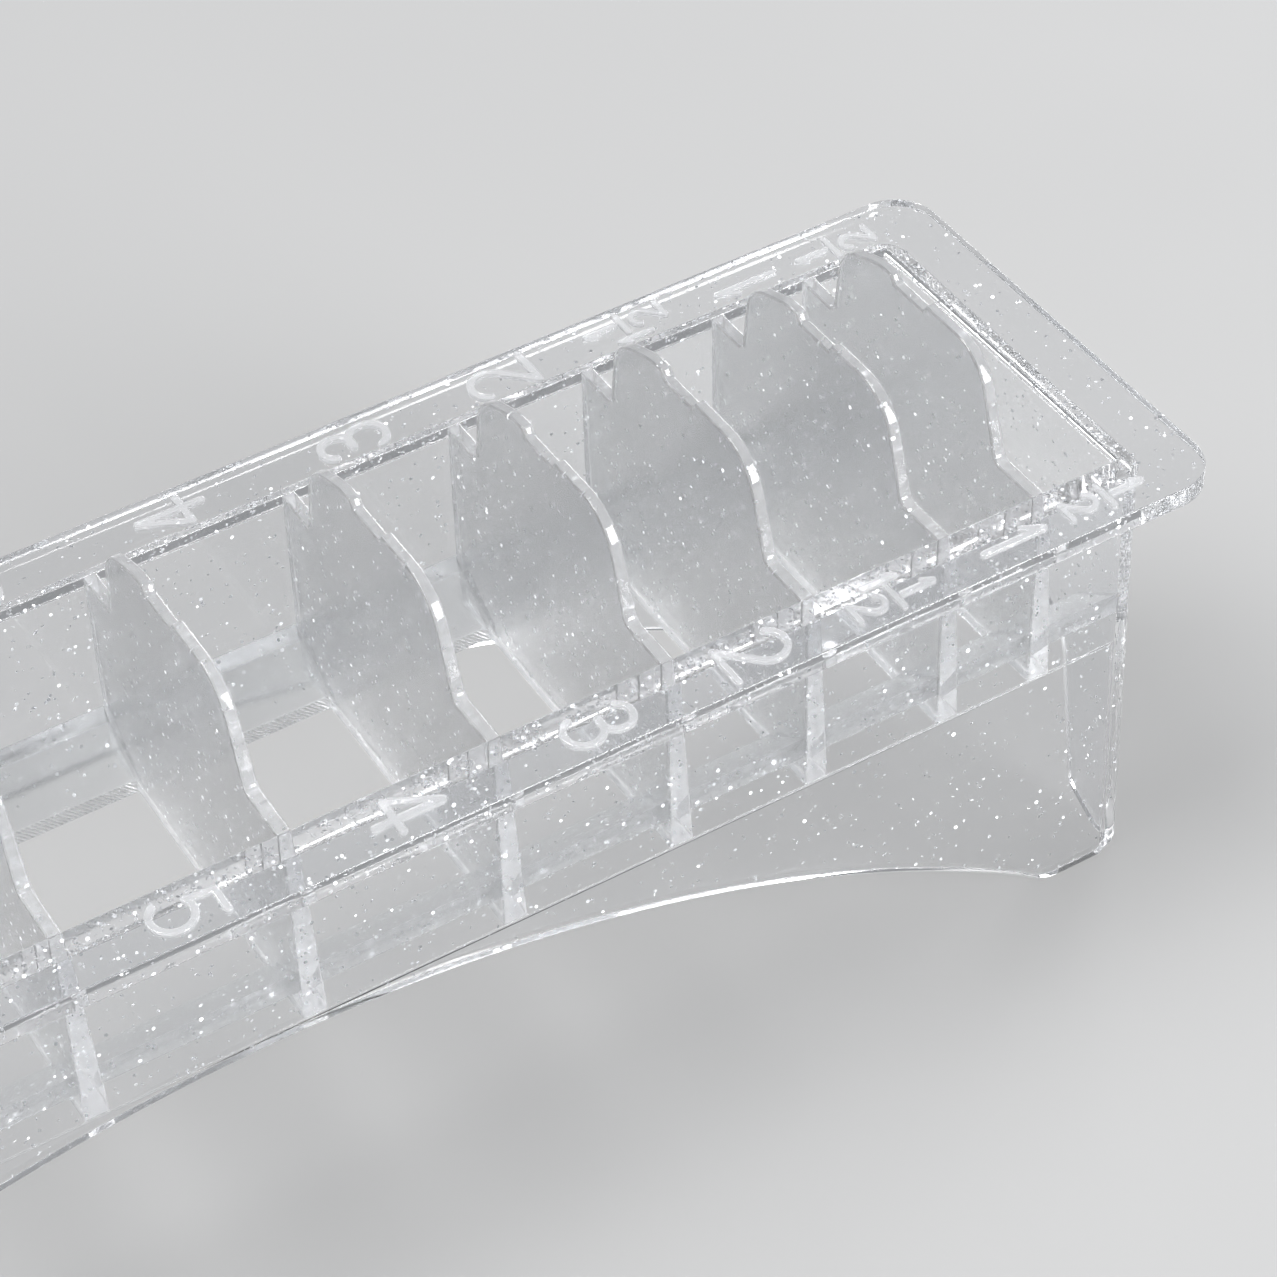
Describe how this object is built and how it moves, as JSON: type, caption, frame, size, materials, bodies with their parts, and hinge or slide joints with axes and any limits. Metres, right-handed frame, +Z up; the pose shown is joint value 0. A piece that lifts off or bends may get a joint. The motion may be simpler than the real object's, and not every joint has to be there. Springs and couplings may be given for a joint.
{
  "type": "clipper guard comb holder",
  "caption": "Clear glitter plastic tray on corner legs, with a numbered flat rim and upright humped dividers that hold hair clipper guard combs by size.",
  "frame": {"origin": "on the ground under the middle of the tray", "axes": "+X along the tray towards the half-size slot, +Y across to the back rim, where the dividers' humps are lower, +Z up"},
  "size_m": [0.25, 0.066, 0.0774],
  "materials": {
    "clear_plastic": "clear and glossy, with fine silver glitter in the plastic",
    "frosted_plastic": "clear plastic with a satin mould texture, with fine silver glitter in it"
  },
  "bodies": {
    "root": {"corner_post_back_left": "clear_plastic", "corner_post_back_right": "clear_plastic", "corner_post_front_left": "clear_plastic", "corner_post_front_right": "clear_plastic", "divider_1": "frosted_plastic", "divider_1_half": "frosted_plastic", "divider_2": "frosted_plastic", "divider_3": "frosted_plastic", "divider_4": "frosted_plastic", "divider_5": "frosted_plastic", "divider_6": "frosted_plastic", "divider_7": "frosted_plastic", "divider_half": "frosted_plastic", "end_skirt_left": "clear_plastic", "end_skirt_right": "clear_plastic", "leg_back_left": "clear_plastic", "leg_back_right": "clear_plastic", "leg_front_left": "clear_plastic", "leg_front_right": "clear_plastic", "number_back_1": "clear_plastic", "number_back_1_half": "clear_plastic", "number_back_2": "clear_plastic", "number_back_3": "clear_plastic", "number_back_4": "clear_plastic", "number_back_5": "clear_plastic", "number_back_6": "clear_plastic", "number_back_7": "clear_plastic", "number_back_8": "clear_plastic", "number_back_half": "clear_plastic", "number_front_1": "clear_plastic", "number_front_1_half": "clear_plastic", "number_front_2": "clear_plastic", "number_front_3": "clear_plastic", "number_front_4": "clear_plastic", "number_front_5": "clear_plastic", "number_front_6": "clear_plastic", "number_front_7": "clear_plastic", "number_front_8": "clear_plastic", "number_front_half": "clear_plastic", "rim_back": "clear_plastic", "rim_front": "clear_plastic", "rim_left": "clear_plastic", "rim_right": "clear_plastic", "sill_back": "frosted_plastic", "sill_front": "frosted_plastic", "wall_back": "clear_plastic", "wall_front": "clear_plastic", "wall_left": "clear_plastic", "wall_right": "clear_plastic"}
  },
  "joints": []
}
